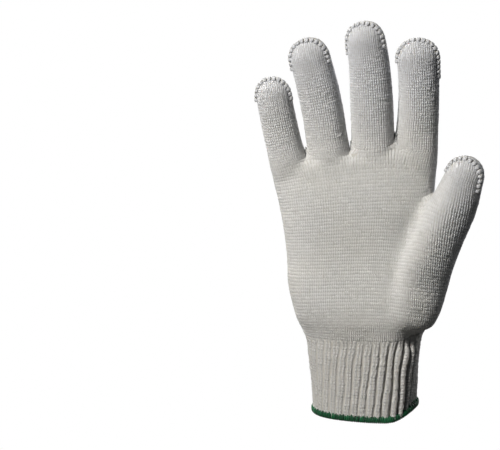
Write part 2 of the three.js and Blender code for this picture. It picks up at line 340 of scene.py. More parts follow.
form = buildHandForm()
formTree = BVHTree.FromObject(form, bpy.context.evaluated_depsgraph_get())
fingerOrder = ("little", "ring", "middle", "index")
fingerTrees = {name: fingerSurface(name, fingerShapes[name]) for name in fingerOrder}
print("hand form:", len(form.data.polygons), "faces")


# The knit's own grid: wales run down each finger into the palm, courses run round.
knit = {
    "course": 1.66,
    "palmCourse": 2.0,
    "webWales": 6,        # wales that end in the web between two fingers
    "thumbWales": 8,      # wales that end where the thumb meets the palm
    "thumbFrom": 34,      # the first of them, counted round the palm from its little-finger side
    "thumbStart": -1,     # and round the thumb from its inner side
    "mergeHeight": 129,   # where the thumb's courses join the palm's
    "wristHeight": 46.2,
    "pinned": 6,          # rows above a web that stay as they are
    "apart": (0.3, 4.5),  # between these heights over its web a finger parts from its neighbour
    "aboveThumb": 26,     # how far the palm is woven down to the thumb's root
    "belowThumb": 82,     # and from there to the wrist
    "relaxRounds": 190,
    "relaxStep": 0.8,
}


# The nearest points of the hand form and its outward directions there.
def snapToForm(points, tree=formTree):
    places, normals = [], []
    for point in points:
        place, normal = tree.find_nearest(Vector(point * mm))[:2]
        places.append(place)
        normals.append(normal)
    return np.array(places) / mm, np.array(normals)


# Rings of points up a finger. Over the tip each wale runs straight on until it meets the seam.
def fingerRings(shape):
    top = shape["rows"][-1][0]
    length = np.linalg.norm(centreOf(rowAt(shape, top)) - centreOf(rowAt(shape, shape["web"])))
    rings = []
    for z in np.linspace(shape["web"], top, int(round(length / knit["course"])) + 1):
        section = sectionAt(shape, z)
        rings.append(ovalPoints(section, evenAngles(section, shape["wales"])))
    tip = sectionAt(shape, top)
    angles = evenAngles(tip, shape["wales"])
    u, v = ovalShares(tip, angles)
    power = tip["squareness"]
    arc = 0.5 * math.pi * math.sqrt((tip["depth"] ** 2 + shape["dome"] ** 2) / 2)
    steps = int(round(arc / knit["course"]))
    for angle in np.linspace(0, math.pi / 2, steps + 1)[1:]:
        scale = np.maximum(max(math.cos(angle), 0.001), np.abs(u))
        rise = np.clip(1 - scale**2, 0, 1) ** 0.5
        deep = np.clip(1 - (np.abs(u) / scale) ** power, 0, 1) ** (1 / power) * scale * np.sign(v)
        ring = tip["centre"] + (u * tip["width"])[:, None] * tip["across"]
        ring = ring + (deep * tip["depth"])[:, None] * tip["through"]
        rings.append(ring + (rise * shape["dome"])[:, None] * tip["axis"])
    return rings


class KnitGrid:
    def __init__(self):
        self.points = []
        self.pinned = []
        self.fingers = []
        self.cells = []
        self.parts = []

    def addRing(self, ring, pinned, finger=""):
        start = len(self.points)
        self.points.extend(ring)
        self.pinned.extend([pinned] * len(ring))
        self.fingers.extend([finger] * len(ring))
        return np.arange(start, start + len(ring))

    # Joins two rings of equal counts by one round of cells; each half of the round has its own part.
    def addCourse(self, lower, upper, parts):
        count = len(lower)
        for i in range(count):
            j = (i + 1) % count
            self.cells.append((lower[i], lower[j], upper[j], upper[i]))
            self.parts.append(parts[0 if i < count / 2 else 1])


def buildGrid():
    grid = KnitGrid()
    half = knit["webWales"] // 2
    ids = {}
    for name, shape in fingerShapes.items():
        rings = fingerRings(shape)
        ids[name] = [grid.addRing(ring, row > knit["pinned"], name) for row, ring in enumerate(rings)]
        if name in fingerOrder[1:]:
            before = ids[fingerOrder[fingerOrder.index(name) - 1]][0]
            for m in range(2 * half + 1):
                own = (half - m) % len(ids[name][0])
                shared = before[len(before) // 2 - half + m]
                grid.points[shared] = (grid.points[shared] + grid.points[ids[name][0][own]]) / 2
                ids[name][0][own] = shared
    front, back = [], []
    for name in fingerOrder:
        ring = ids[name][0]
        count = len(ring)
        start = 0 if name == fingerOrder[0] else half + 1
        end = count // 2 if name == fingerOrder[-1] else count // 2 - half
        front.extend(ring[start:end + 1])
        start = count // 2 + 1 if name == fingerOrder[-1] else count // 2 + half + 1
        end = count if name == fingerOrder[0] else count - half + 1
        back = list(ring[start:end]) + back
    palmRing = np.array(front + back)
    upper = weaveDown(grid, palmRing, knit["mergeHeight"], knit["aboveThumb"])

    thumbRing = ids["thumb"][0]
    share = knit["thumbWales"]
    firstPalm, firstThumb = knit["thumbFrom"], knit["thumbStart"]
    for m in range(share + 1):
        own = (firstThumb - m) % len(thumbRing)
        shared = upper[firstPalm + m]
        grid.points[shared] = (grid.points[shared] + grid.points[thumbRing[own]]) / 2
        thumbRing[own] = shared
    outer = thumbRing[firstThumb + 1:(firstThumb - share) % len(thumbRing)]
    lowerRing = np.concatenate([upper[:firstPalm + 1], outer, upper[firstPalm + share:]])
    weaveDown(grid, lowerRing, knit["wristHeight"], knit["belowThumb"], True)
    for name in fingerShapes:
        for lower, higher in zip(ids[name], ids[name][1:]):
            grid.addCourse(lower, higher, (name, name))
    return grid


# Fills in courses from a ring of grid points down to the palm's section at a height.
def weaveDown(grid, ring, height, distance, pinLast=False):
    section = sectionAt(palmShape, height)
    target = ovalPoints(section, evenAngles(section, len(ring)))
    start = np.array([grid.points[i] for i in ring])
    rows = int(round(distance / knit["palmCourse"]))
    previous = ring
    for row in range(1, rows + 1):
        share = row / rows
        points = start * (1 - share) + target * share
        current = grid.addRing(points, pinLast and row == rows)
        grid.addCourse(current, previous, ("palmFront", "palmBack"))
        previous = current
    return previous


# Evens the stitches out: every free point slides along the form towards the middle of its neighbours.
def relaxGrid(grid):
    points = np.array(grid.points)
    cells = np.array(grid.cells)
    used = np.zeros(len(points), bool)
    used[cells] = True
    edges = np.concatenate([cells[:, [0, 1]], cells[:, [1, 2]], cells[:, [2, 3]], cells[:, [3, 0]]])
    edges = np.unique(np.sort(edges, axis=1), axis=0)
    ends = np.concatenate([edges, edges[:, ::-1]])
    counts = np.maximum(np.bincount(ends[:, 0], minlength=len(points)), 1)[:, None]
    moving = np.flatnonzero(~np.array(grid.pinned) & used)
    normals = np.zeros_like(points)
    first = points.copy()
    points[used], normals[used] = snapToForm(points[used])
    for _ in range(knit["relaxRounds"]):
        totals = [np.bincount(ends[:, 0], points[ends[:, 1], k], len(points)) for k in range(3)]
        slide = (np.stack(totals, 1) / counts - points)[moving]
        slide -= normals[moving] * (slide * normals[moving]).sum(1, keepdims=True)
        points[moving], normals[moving] = snapToForm(points[moving] + knit["relaxStep"] * slide)
    low, high = knit["apart"]
    for name, tree in fingerTrees.items():
        own = np.flatnonzero((np.array(grid.fingers) == name) & used)
        share = smoothShare((first[own, 2] - fingerShapes[name]["web"] - low) / (high - low))[:, None]
        places, outward = snapToForm(first[own], tree)
        points[own] = points[own] * (1 - share) + places * share
        normals[own] = normals[own] * (1 - share) + outward * share
    return points, normals, cells, np.array(grid.parts)


grid = buildGrid()
gridPoints, pointNormals, gridCells, cellParts = relaxGrid(grid)
print("knit grid:", len(gridCells), "stitches")


# The two legs of one stitch, in the units of its cell: x across the wale, y along it. z is outwards
# in millimetres.
fingerStitch = {"width": 0.5, "length": 1.46, "height": 0.9, "lean": 0.15, "side": 0.25, "tuck": 0.08}
palmStitch = {"width": 0.58, "length": 1.3, "height": 0.8, "lean": 0.15, "side": 0.25, "tuck": 0.1}
ribStitch = {"width": 0.5, "length": 1.38, "height": 1.1, "lean": 0.19, "side": 0.25, "tuck": 0.2}
purlBump = {"width": 0.9, "length": 1.1, "height": 0.9, "tuck": 0.15}
cellMiddle = 0.42       # the stitch's middle, a little below the cell's
strandBends = (0.2, 0.45)     # shares of a strand's length past which it sinks and leans
relief = {
    "byHeight": [
        (46, 0.85), (56, 0.68), (66, 0.54), (122, 0.6), (138, 0.54), (148, 0.46), (158, 0.58), (172, 0.8),
    ],
    "thumb": 0.76, "thumbFrom": 60, "tip": 0.36, "tipFrom": 17, "tipOver": 14,
    "jitter": 0.035, "uneven": 0.05,
    "rimAngle": 80,     # the thin rim of a flat stitch is shaded as an edge, not as a round
}
# Courses show on the flat of the palm; towards the fingers, the thumb and the cuff the wales take over.
walesTake = {"height": (138, 154), "low": (50, 66), "side": (12, 38), "least": 0.26}
# Cells smaller than this hold no stitch: the share of a course in height, and the width in millimetres.
smallestCell = {"height": 0.25, "width": 0.35}


def selectWhere(piece, test):
    bpy.ops.object.mode_set(mode="OBJECT")
    for vertex in piece.data.vertices:
        vertex.select = bool(test(vertex.co))
    bpy.ops.object.mode_set(mode="EDIT")


# Takes a modelled piece away and keeps its points and triangles, to be laid many times.
def takeUnit(piece):
    editAll(piece)
    bpy.ops.mesh.normals_make_consistent(inside=False)
    bpy.ops.mesh.quads_convert_to_tris()
    bpy.ops.object.mode_set(mode="OBJECT")
    # The triangles come in a different order each run, so they are put in one: each starts at its
    # lowest point, and then they are sorted. Which way they face stays.
    faces = np.array([p.vertices for p in piece.data.polygons])
    faces = sorted(tuple(np.roll(face, -face.argmin())) for face in faces)
    unit = {"points": np.array([v.co for v in piece.data.vertices]), "faces": np.array(faces)}
    bpy.data.objects.remove(piece)
    return unit


# A strand lies along y and sinks at both ends, as a leg of a loop does where it passes under the next.
def strandPiece(segments, rings, width, length, height, tuck):
    deselectAll()
    bpy.ops.mesh.primitive_uv_sphere_add(segments=segments, ring_count=rings, radius=0.5, location=(0, 0, 0))
    strand = bpy.context.object
    bpy.ops.object.mode_set(mode="EDIT")
    bpy.ops.mesh.select_mode(type="VERT")
    bpy.ops.mesh.select_all(action="SELECT")
    bpy.ops.transform.rotate(value=math.pi / 2, orient_axis="X", center_override=(0, 0, 0))
    bpy.ops.transform.rotate(value=math.pi / 2, orient_axis="Y", center_override=(0, 0, 0))
    bpy.ops.transform.resize(value=(width, length, height), center_override=(0, 0, 0))
    for reach in strandBends:
        selectWhere(strand, lambda co: abs(co.y) > length * reach)
        bpy.ops.transform.translate(value=(0, 0, -tuck))
    return strand


def modelStitch(legs):
    leg = strandPiece(6, 4, legs["width"], legs["length"], legs["height"], legs["tuck"])
    for sign in (1, -1):
        selectWhere(leg, lambda co: co.y * sign > legs["length"] * strandBends[0])
        bpy.ops.transform.translate(value=(-sign * legs["lean"], 0, 0))
    bpy.ops.mesh.select_all(action="SELECT")
    bpy.ops.transform.translate(value=(-legs["side"], 0, 0))
    bpy.ops.mesh.duplicate()
    bpy.ops.transform.resize(value=(-1, 1, 1), center_override=(0, 0, 0))
    bpy.ops.mesh.select_all(action="SELECT")
    bpy.ops.transform.translate(value=(0.5, cellMiddle, 0))
    return takeUnit(leg)


def modelPurl():
    bump = strandPiece(4, 4, purlBump["width"], purlBump["length"], purlBump["height"], purlBump["tuck"])
    bpy.ops.mesh.select_all(action="SELECT")
    bpy.ops.transform.rotate(value=math.pi / 2, orient_axis="Z", center_override=(0, 0, 0))
    bpy.ops.transform.translate(value=(0.5, 0.5, 0))
    return takeUnit(bump)


# Lays copies of the unit. placeOf gives points and outward directions for shares across and along
# each place.
def layUnits(name, unit, count, placeOf, rise=0.0, height=1.0, shade=1.0):
    base = unit["points"]
    shift = chance.normal(0, relief["jitter"], (count, 1, 3)) * np.array([1, 1, 2])
    spread = (1 + chance.normal(0, relief["uneven"], (count, 1))) * np.reshape(height, (-1, 1))
    x = base[None, :, 0] + shift[:, :, 0]
    y = base[None, :, 1] + shift[:, :, 1]
    z = (base[None, :, 2] + shift[:, :, 2]) * spread + np.reshape(rise, (-1, 1))
    points, outward = placeOf(x, y)
    outward /= np.maximum(np.linalg.norm(outward, axis=2, keepdims=True), 1e-9)
    points += outward * z[:, :, None]
    faces = unit["faces"][None] + (np.arange(count) * len(base))[:, None, None]
    piece = meshPiece(name, points.reshape(-1, 3), faces.reshape(-1, 3))
    makeActive(piece)
    bpy.ops.object.shade_smooth_by_angle(angle=math.radians(relief["rimAngle"]))
    # Each point's share of the stitch's height, scaled by shade. The material paints the low parts in the
    # crevice colour as painted shade, and a shade below 1 paints the whole copy darker.
    low, high = base[:, 2].min(), base[:, 2].max()
    lift = 1 - (high - base[:, 2]) / (high - low) * np.minimum(spread, 1)
    tone = np.repeat(chance.normal(0, 1, count), len(base))
    addShares(piece, lift=lift.ravel() * shade, tone=tone)
    return piece


# Places in four-sided cells, whose corners run from low left to low right, high right and high left.
def inCells(corners, normals):
    def placeOf(x, y):
        weights = np.stack([(1 - x) * (1 - y), x * (1 - y), x * y, (1 - x) * y], 2)
        return np.einsum("nvk,nkc->nvc", weights, corners), np.einsum("nvk,nkc->nvc", weights, normals)
    return placeOf


# Places on a tube of rings, for spots that are rows of a ring's number and the columns they run between.
def onRings(rings, outward, spots):
    row, first, last = (part[:, None] for part in spots.T)

    def placeOf(x, y):
        rows, columns = row + y, first + x * (last - first)
        return readRings(rings, rows, columns), readRings(outward, rows, columns)
    return placeOf


# Reads between the points of the rings; rows past the last ring run straight on.
def readRings(table, rows, columns):
    low = np.clip(np.floor(rows).astype(int), 0, len(table) - 2)
    left = np.floor(columns).astype(int)
    up, right = (rows - low)[..., None], (columns - left)[..., None]
    beside = (left + 1) % table.shape[1]
    left = left % table.shape[1]
    lower = table[low, left] * (1 - right) + table[low, beside] * right
    upper = table[low + 1, left] * (1 - right) + table[low + 1, beside] * right
    return lower * (1 - up) + upper * up


def addShares(piece, **shares):
    for key, values in shares.items():
        layer = piece.data.attributes.new(key, "FLOAT", "POINT")
        layer.data.foreach_set("value", np.asarray(values, np.float32))


fingerUnit = modelStitch(fingerStitch)
palmUnit = modelStitch(palmStitch)
ribUnit = modelStitch(ribStitch)
purlUnit = modelPurl()
cellCorners = gridPoints[gridCells]
cellNormals = pointNormals[gridCells]
lowEdge = np.linalg.norm(cellCorners[:, 1] - cellCorners[:, 0], axis=1)
highEdge = np.linalg.norm(cellCorners[:, 2] - cellCorners[:, 3], axis=1)
sides = np.linalg.norm(cellCorners[:, 3] - cellCorners[:, 0], axis=1)
sides = np.minimum(sides, np.linalg.norm(cellCorners[:, 2] - cellCorners[:, 1], axis=1))
whole = sides > smallestCell["height"] * knit["course"]
whole &= np.minimum(lowEdge, highEdge) > smallestCell["width"]
cellHeights = cellCorners[:, :, 2].mean(1)
thumbward = np.interp(cellCorners[:, :, 0].mean(1), walesTake["side"], (0, 1))
upward = np.interp(cellHeights, walesTake["height"], (walesTake["least"], 1))
upward = np.maximum(upward, np.interp(cellHeights, walesTake["low"], (1, 0)))
onPalm = np.char.startswith(cellParts.astype(str), "palm")
byCourse = onPalm & (chance.random(len(gridCells)) > np.maximum(thumbward, upward))
cellRelief = np.interp(cellHeights, *zip(*relief["byHeight"]))
thumbSide = np.where(onPalm, thumbward, cellParts == "thumb") * (cellHeights > relief["thumbFrom"])
cellRelief = cellRelief * (1 - thumbSide) + relief["thumb"] * thumbSide
for finger, shape in fingerShapes.items():
    own = cellParts == finger
    overTip = (cellHeights[own] - shape["rows"][-1][0] + relief["tipFrom"]) / relief["tipOver"]
    overTip = np.clip(overTip, 0, 1)
    cellRelief[own] = cellRelief[own] * (1 - overTip) + relief["tip"] * overTip
knitPieces = {}
for part in (*fingerOrder, "thumb", "palmFront", "palmBack"):
    for ending, stitch, ofKind in (("Knit", fingerUnit, ~byCourse), ("Courses", palmUnit, byCourse)):
        name = part + ending
        chosen = whole & (cellParts == part) & ofKind
        count = int(chosen.sum())
        if count:
            places = inCells(cellCorners[chosen], cellNormals[chosen])
            knitPieces[name] = layUnits(name, stitch, count, places, 0.0, cellRelief[chosen])
            print(name, count, "stitches")


# The cloth wall that the stitches stand on: the grid itself, lowered a little and given its thickness.
clothWall = {"sink": 0.16, "thickness": 1.6, "merge": 0.02}


def buildClothWall():
    points = gridPoints - pointNormals * clothWall["sink"]
    wall = meshPiece("innerCloth", points, gridCells)
    editAll(wall)
    bpy.ops.mesh.remove_doubles(threshold=clothWall["merge"] * mm)
    bpy.ops.mesh.delete_loose()
    bpy.ops.object.mode_set(mode="OBJECT")
    applyModifier(wall, "SOLIDIFY", thickness=clothWall["thickness"] * mm, offset=-1.0)
    return wall


innerCloth = buildClothWall()
print("cloth wall:", len(innerCloth.data.polygons), "faces")


# The cuff: a ribbed tube whose crests carry a chain of stitches and whose valleys show the purl side.
cuff = {
    "rows": [
        (-6.5, 0.1, 0, 31.5, 22.4, -16, 0),
        (0, 0.2, 0, 31.9, 22.4, -16, 0),
        (14, 0.3, 0, 32.6, 22.2, -14, 0),
        (32, -0.1, 0.3, 34.1, 21.8, -10, 0),
        (47, 0.1, 0.5, 36.6, 21.2, -6, 0),
        (52, 0.3, 0.2, 38.9, 21.4, -5, 0),
    ],
    "squareness": 2.7, "upright": True,
    "ribs": 38, "samples": 12,
    "course": 1.75, "top": 46.2,
    "ribDeep": 4.1, "ribShallow": 0.35, "sharpness": 6.8,
    "crestShare": 0.84, "crestPower": 0.75,
    "corner": (1.0, 0.33, 0.14),     # how far the front corner stands out, where it is and how wide
    "flank": (1.2, 0.02, 0.17),      # how far the flank beside it is pressed in
    "pressOver": 12, "nudge": 0.01,
    "calmFrom": 0.75, "calm": (0.95, 0.6),       # the chains' height falls over the last rows
    # valleyShade lowers the purl bumps' height share, so the valleys are painted darker: painted shade in
    # the ribs' valleys.
    "crestRise": 0.05, "valleyRise": -0.2, "valleyHeight": 0.8, "valleyShade": 0.6,
    "wall": 1.9, "hemCover": 1.6, "sway": 0.09, "blend": 10,
    "fadeOver": (5, 14),      # the ribs fade over this height, from the thumb side to the other
    "edge": [
        (20, 2.2), (60, 0.8), (100, 0.0), (150, -1.5), (180, -2.4), (205, -2.7), (230, -3.2),
        (270, -3.6), (300, -3.6), (312, -3.0), (322, -1.6), (332, 0.0), (343, 1.4), (355, 2.2),
    ],
}


# Height of the edge round the wrist, by the angle in degrees: the thumb side rides up.
def hemDrop(angle):
    around = np.degrees(angle) % 360
    places, heights = zip(*cuff["edge"])
    return np.interp(around, places, heights, period=360)


# Rib depth grows from the little-finger side to the thumb side, and fades out at the wrist.
def ribDepth(angle, z):
    side = (0.5 + 0.5 * np.cos(angle + 0.4)) ** cuff["sharpness"]
    deep = cuff["ribShallow"] + (cuff["ribDeep"] - cuff["ribShallow"]) * side
    low, high = cuff["fadeOver"]
    return deep * smoothShare((cuff["top"] + 1 - z) / (low + (high - low) * (1 - side)))


def bulge(angle, height, place, width):
    return height * math.exp(-(math.sin(angle / 2 + place) / width) ** 2)


# Rings of points up the cuff. Near its top the cuff takes the hand's own surface, so that the two run on.
def buildCuffRings():
    count = cuff["ribs"] * cuff["samples"]
    top = cuff["top"]
    rows = int(round(top / cuff["course"]))
    phases = chance.uniform(0, 2 * math.pi, (2, cuff["ribs"] + 1))
    around = np.arange(count)
    share = (around % cuff["samples"]) / cuff["samples"]
    crestness = np.sin(math.pi * share) ** cuff["crestPower"]
    rings = []
    for row in range(rows + 1):
        up = row / rows
        even = evenAngles(sectionAt(cuff, top * up), count)
        waves = np.sin(up * 5 + phases[0]) + 0.6 * np.sin(up * 11 + phases[1])
        waves[-1] = waves[0]
        sway = np.interp(around / cuff["samples"], np.arange(cuff["ribs"] + 1), waves) * cuff["sway"]
        turns = np.concatenate([even - 2 * math.pi, even, even + 2 * math.pi])
        angles = np.interp(around + sway * cuff["samples"], np.arange(-count, 2 * count), turns)
        bottoms = hemDrop(angles) + cuff["hemCover"]
        ring = np.zeros((count, 3))
        for i, angle in enumerate(angles):
            z = bottoms[i] * (1 - up) + top * up
            section = sectionAt(cuff, z)
            near = ovalPoints(section, angle + np.array([-1, 0, 1]) * cuff["nudge"])
            outward = unit(np.cross(near[2] - near[0], section["axis"]))
            spot = near[1]
            onHand = float(smoothShare(1 - (top - z) / cuff["blend"]))
            if onHand > 0:
                place = formTree.find_nearest(Vector(spot * mm))[0]
                spot = spot * (1 - onHand) + np.array(place) / mm * onHand
            deep = ribDepth(angle, z)
            press = bulge(angle, *cuff["corner"]) - bulge(angle, *cuff["flank"])
            press *= min(1, max(0, (top - z) / cuff["pressOver"]))
            ring[i] = spot - outward * (deep * (1 - crestness[i]) - press)
        rings.append(ring)
    return np.array(rings)


def ringNormals(rings):
    around = np.roll(rings, -1, axis=1) - np.roll(rings, 1, axis=1)
    outward = np.cross(around, np.gradient(rings, axis=0))
    return outward / np.linalg.norm(outward, axis=2, keepdims=True)


def buildCuff():
    rings = buildCuffRings()
    outward = ringNormals(rings)
    samples, rows = cuff["samples"], len(rings) - 1
    skin = rings - outward * clothWall["sink"]
    wall = meshPiece("cuffWall", skin.reshape(-1, 3), ringFaces(rows + 1, rings.shape[1]))
    applyModifier(wall, "SOLIDIFY", thickness=cuff["wall"] * mm, offset=-1.0)
    edge = samples * (1 - cuff["crestShare"]) / 2
    crests, valleys = [], []
    for row in range(rows):
        for rib in range(cuff["ribs"]):
            start = rib * samples
            crests.append((row, start + edge, start + samples - edge))
            valleys.append((row, start + samples - edge, start + samples + edge))
    crests, valleys = np.array(crests), np.array(valleys)
    calmer = np.interp(crests[:, 0] / rows, (cuff["calmFrom"], 1), cuff["calm"])
    places = onRings(rings, outward, crests)
    crest = layUnits("cuffCrests", ribUnit, len(crests), places, cuff["crestRise"], calmer)
    places = onRings(rings, outward, valleys)
    valley = layUnits("cuffValleys", purlUnit, len(valleys), places, cuff["valleyRise"],
                      cuff["valleyHeight"], cuff["valleyShade"])
    return wall, crest, valley


cuffWall, cuffCrests, cuffValleys = buildCuff()
print("cuff:", cuff["ribs"], "ribs")


# The edging at the wrist opening: green overlock thread wrapped round the last course.
hem = {
    "wraps": 148, "steps": 14, "sides": 6, "thread": 0.55,
    "above": 3.3, "tooth": 0.6, "below": -0.4, "outside": 0.45, "inside": 3.0, "slant": 0.9,
    "coreSteps": 240, "coreInset": 0.35, "roundness": 0.6,
    "unevenPlace": 0.06, "unevenReach": 0.12,
}


# The path of one wrap in the plane of outward (x) and up (z): down outside the cloth and up inside it.
def wrapPath(reach, shrink=0.0):
    corners = []
    width = (hem["outside"] + hem["inside"]) / 2 - shrink
    height = (reach + hem["below"]) / 2 - shrink
    middle = ((hem["outside"] - hem["inside"]) / 2, (reach - hem["below"]) / 2)
    for step in range(hem["steps"]):
        angle = 2 * math.pi * step / hem["steps"]
        cosine, sine = math.cos(angle), math.sin(angle)
        x = math.copysign(abs(cosine) ** hem["roundness"], cosine) * width + middle[0]
        z = math.copysign(abs(sine) ** hem["roundness"], sine) * height + middle[1]
        corners.append((x, z))
    return np.array(corners)


# Angles at even steps round the edge, from 0 to the full round.
hemTurns = evenAngles(sectionAt(cuff, 0), 720)
hemTurns = np.append(hemTurns, hemTurns[0] + 2 * math.pi)


# A place on the edge: its point and the directions along it, outwards and up.
def hemFrame(share):
    angle = np.interp(share % 1, np.linspace(0, 1, len(hemTurns)), hemTurns)
    angles = angle + np.array([-1, 0, 1]) * cuff["nudge"]
    near = ovalPoints(sectionAt(cuff, float(hemDrop(angle))), angles)
    near[::2, 2] = hemDrop(angles[::2])
    along = unit(near[2] - near[0])
    outward = unit(np.cross(along, np.array([0, 0, 1])))
    return near[1], along, outward, np.cross(outward, along)


def buildHem():
    rings = []
    path = wrapPath(hem["above"], hem["coreInset"])
    for i in range(hem["coreSteps"]):
        origin, along, outward, up = hemFrame(i / hem["coreSteps"])
        rings.append(origin + path[:, :1] * outward + path[:, 1:] * up)
    core = meshPiece("hemCore", np.concatenate(rings), ringFaces(len(rings), hem["steps"], True))
    points, faces, tones = [], [], []
    sides = hem["sides"]
    for i in range(hem["wraps"]):
        origin, along, outward, up = hemFrame((i + chance.normal(0, hem["unevenPlace"])) / hem["wraps"])
        reach = hem["above"] + (hem["tooth"] if i % 2 else 0) + chance.normal(0, hem["unevenReach"])
        path = wrapPath(reach)
        ahead = np.roll(path, -1, axis=0) - np.roll(path, 1, axis=0)
        start = len(points)
        for (x, z), (dx, dz) in zip(path, ahead):
            centre = origin + x * outward + z * up + along * hem["slant"] * z / hem["above"] / 2
            way = unit(dx * outward + dz * up)
            across = unit(np.cross(way, along))
            for side in range(sides):
                angle = 2 * math.pi * side / sides
                spread = hem["thread"] * (math.cos(angle) * along + math.sin(angle) * across)
                points.append(centre + spread)
        faces.extend(np.array(ringFaces(hem["steps"], sides, True)) + start)
        tones.extend([chance.normal(0, 1)] * (len(points) - start))
    wraps = meshPiece("hemThread", points, faces)
    addShares(wraps, tone=tones)
    faceOutward(core)
    faceOutward(wraps)
    return core, wraps


hemCore, hemThread = buildHem()
print("hem:", hem["wraps"], "wraps")


# The closing seam over each tip: a row of fat whip stitches over the rim of the knit.
tipSeam = {
    "pitch": 2.9, "width": 1.46, "rim": 1.8, "thickness": 0.7, "stand": 0.42,
    "cord": 1.35, "cordRise": -0.6, "cordLump": 0.12, "cordSides": 8, "cordFiner": 4,
    "wrap": 0.9, "unevenRadius": 0.05, "unevenPlace": 0.08,
}


# Points of the seam from the left side over the tip to the right side, evenly spaced on the form.
def seamPoints(shape, pitch):
    top = shape["rows"][-1][0]
    tip = sectionAt(shape, top)
    legs = []
    for side, drop in zip((-1, 1), shape["seamDrops"]):
        sections = [sectionAt(shape, top - drop * share) for share in (1, 0.66, 0.33)]
        legs.append([seamSpot(shape, section, side) for section in sections])
    arc = []
    for angle in np.linspace(math.pi, 0, 41):
        flat = seamSpot(shape, tip, math.cos(angle))
        arc.append(flat + tip["axis"] * shape["dome"] * math.sin(angle))
    points = np.array(legs[0] + arc + legs[1][::-1])
    spots, normals = snapToForm(points)
    lengths = np.concatenate([[0], np.cumsum(np.linalg.norm(np.diff(spots, axis=0), axis=1))])
    count = int(round(lengths[-1] / pitch))
    wanted = (np.arange(count) + 0.5) * lengths[-1] / count
    spots = np.stack([np.interp(wanted, lengths, part) for part in spots.T], 1)
    normals = np.stack([np.interp(wanted, lengths, part) for part in normals.T], 1)
    return spots, normals


def seamSpot(shape, section, side):
    left, right = shape["seamFronts"]
    forward = (left + right + (right - left) * side) / 2
    return section["centre"] + section["across"] * section["width"] * side - section["through"] * forward


# The rolled rim that the whip stitches hold: one soft cord along the seam, a little lumpy.
def rimCord(name, spots, normals):
    sides, finer = tipSeam["cordSides"], tipSeam["cordFiner"]
    steps = np.linspace(0, len(spots) - 1, (len(spots) - 1) * finer + 1)
    rings = []
    for step in steps:
        low = int(min(step, len(spots) - 2))
        share = step - low
        spot = spots[low] * (1 - share) + spots[low + 1] * share
        along = unit(spots[low + 1] - spots[low])
        outward = normals[low] * (1 - share) + normals[low + 1] * share
        outward = unit(outward - along * outward.dot(along))
        through = np.cross(along, outward)
        end = min(step, len(spots) - 1 - step)
        radius = tipSeam["cord"] * min(1, 0.3 + end)
        radius *= 1 + tipSeam["cordLump"] * math.cos(2 * math.pi * step)
        centre = spot + outward * tipSeam["cordRise"]
        turns = np.arange(sides) * 2 * math.pi / sides
        rings.append(centre + radius * (np.cos(turns)[:, None] * outward + np.sin(turns)[:, None] * through))
    faces = ringFaces(len(rings), sides)
    points = list(np.concatenate(rings))
    points += [rings[0].mean(0), rings[-1].mean(0)]
    first, last = len(points) - 2, len(points) - 1
    start = (len(rings) - 1) * sides
    triangles = [(a, b, c) for a, b, c, d in faces] + [(a, c, d) for a, b, c, d in faces]
    triangles += [(first, (i + 1) % sides, i) for i in range(sides)]
    triangles += [(last, start + i, start + (i + 1) % sides) for i in range(sides)]
    cord = meshPiece(name, points, triangles)
    addShares(cord, lift=np.full(len(points), 0.8), tone=np.zeros(len(points)))
    return cord


def buildTipSeam(name, shape, unitPiece):
    spots, normals = seamPoints(shape, tipSeam["pitch"])
    base = unitPiece["points"]
    points, lifts = [], []
    for i, spot in enumerate(spots):
        along = unit(spots[min(i + 1, len(spots) - 1)] - spots[max(i - 1, 0)])
        outward = unit(normals[i] - along * normals[i].dot(along))
        through = np.cross(along, outward)
        turn = base[:, 1] * math.pi * tipSeam["wrap"]
        radius = tipSeam["rim"] + base[:, 2] * tipSeam["thickness"]
        radius = radius + chance.normal(0, tipSeam["unevenRadius"])
        place = spot - outward * tipSeam["rim"] * tipSeam["stand"]
        sideways = base[:, :1] * tipSeam["width"] * 2 + chance.normal(0, tipSeam["unevenPlace"])
        place = place + sideways * along
        place = place + (radius * np.cos(turn))[:, None] * outward
        place = place + (radius * np.sin(turn))[:, None] * through
        points.append(place)
        # Lower towards the sides of each whip, so that the material paints shade in the gaps between the
        # whips.
        lifts.append(1 - np.abs(base[:, 0]) * 2)
    count = len(spots)
    faces = unitPiece["faces"][None] + (np.arange(count) * len(base))[:, None, None]
    seam = meshPiece(name + "Whips", np.concatenate(points), faces.reshape(-1, 3))
    addShares(seam, lift=np.concatenate(lifts), tone=np.repeat(chance.normal(0, 1, count), len(base)))
    seam = joinPieces([rimCord(name, spots, normals), seam])
    faceOutward(seam)
    return seam


whipUnit = takeUnit(strandPiece(8, 10, 0.96, 1.0, 0.9, 0))
seamPieces = {}
for finger, shape in fingerShapes.items():
    seamPieces[finger] = buildTipSeam(finger + "TipSeam", shape, whipUnit)
print("tip seams:", len(seamPieces))


def linear(code):
    parts = [int(code[i:i + 2], 16) / 255 for i in (1, 3, 5)]
    return [p / 12.92 if p <= 0.04045 else ((p + 0.055) / 1.055) ** 2.4 for p in parts] + [1]


# Adds a node with its settings and links; a number names an input by its place, as i0 does in links.
def addNode(tree, kind, settings=None, **links):
    node = tree.nodes.new("ShaderNode" + kind)
    for key, value in (settings or {}).items():
        if key in node.bl_rna.properties:
            setattr(node, key, value)
        else:
            node.inputs[int(key) if key.isdigit() else key].default_value = value
    for key, source in links.items():
        socket = node.inputs[int(key[1:])] if key[0] == "i" and key[1:].isdigit() else node.inputs[key]
        tree.links.new(source, socket)
    return node


def newMaterial(name):
    material = bpy.data.materials.new(name)
    material.use_nodes = True
    tree = material.node_tree
    tree.nodes.clear()
    shader = addNode(tree, "BsdfPrincipled")
    addNode(tree, "OutputMaterial", Surface=shader.outputs[0])
    return material, tree, shader


